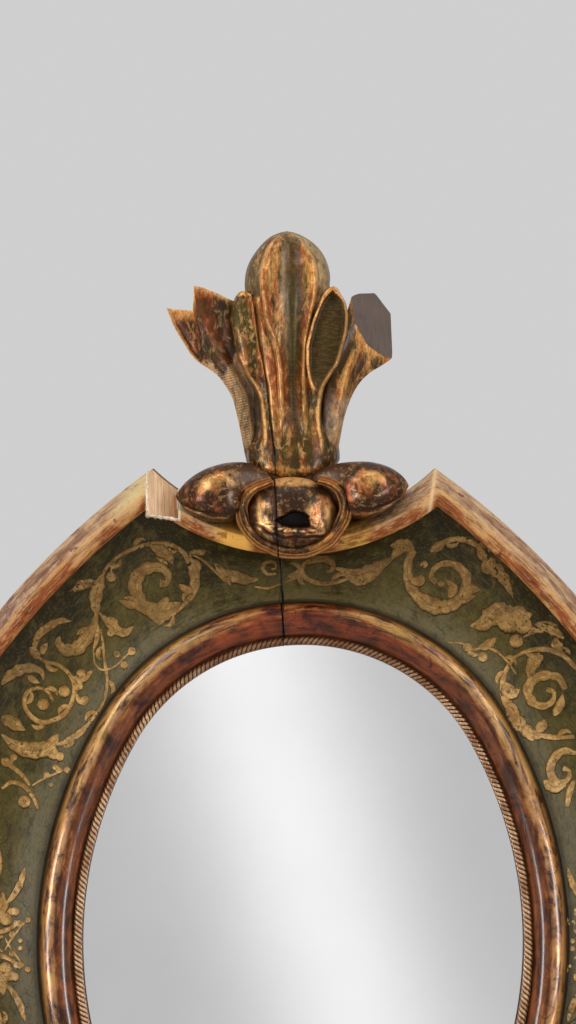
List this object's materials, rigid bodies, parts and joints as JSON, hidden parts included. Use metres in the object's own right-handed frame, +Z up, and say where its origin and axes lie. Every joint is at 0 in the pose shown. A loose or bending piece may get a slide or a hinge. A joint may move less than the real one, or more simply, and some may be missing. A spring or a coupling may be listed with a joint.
{
  "type": "wall mirror",
  "caption": "Oval wall mirror in a broad painted cove frame with a rope-edged half-round moulding, two ears and a carved plume crest, hung by an iron ring.",
  "frame": {"origin": "on the wall plane, straight behind the pivot of the hanging ring, where the wall hook stands", "axes": "+Z up, +Y into the wall, +X to the right for a person who faces the mirror"},
  "size_m": [0.74, 0.0978, 1.049],
  "materials": {
    "painted_frame": "dark green paint with ochre scrolls, worn gilding on the rim",
    "gilt_moulding": "worn gilding over red bole",
    "gilt_rope": "old gilding, dark in the hollows",
    "gilt_carving": "tarnished gilding over red bole, polished on the high parts",
    "bare_wood": "aged, unpainted",
    "silvered_glass": "polished",
    "forged_iron": "black, slightly rusted"
  },
  "bodies": {
    "mirror": {"frame_upper_left": "painted_frame", "frame_upper_right": "painted_frame", "frame_lower_left": "painted_frame", "frame_lower_right": "painted_frame", "moulding_left": "gilt_moulding", "moulding_right": "gilt_moulding", "rope_fillet_left": "gilt_rope", "rope_fillet_right": "gilt_rope", "mirror_glass": "silvered_glass", "glazing_blocks": "bare_wood", "back_plank_left": "bare_wood", "back_plank_centre": "bare_wood", "back_plank_right": "bare_wood", "back_nails": "forged_iron", "seam_dowels": "bare_wood", "butterfly_keys": "bare_wood", "crest_block": "gilt_carving", "crest_dowel": "bare_wood", "crest_plume": "gilt_carving", "crest_leaf_left": "gilt_carving", "crest_leaf_right": "gilt_carving", "crest_lobe_left": "gilt_carving", "crest_lobe_right": "gilt_carving", "crest_boss": "gilt_carving", "crest_boss_collar": "gilt_carving", "crest_batten": "bare_wood", "batten_screws": "forged_iron", "hanger_strap": "forged_iron", "hanger_nails": "forged_iron"},
    "ring": {"hanging_ring": "forged_iron"}
  },
  "joints": [
    {"name": "ring_hinge", "type": "hinge", "parent": "mirror", "child": "ring", "pos_m": [0, -0.00595, 0], "axis": [1, 0, 0], "range_deg": [0, 180]}
  ]
}
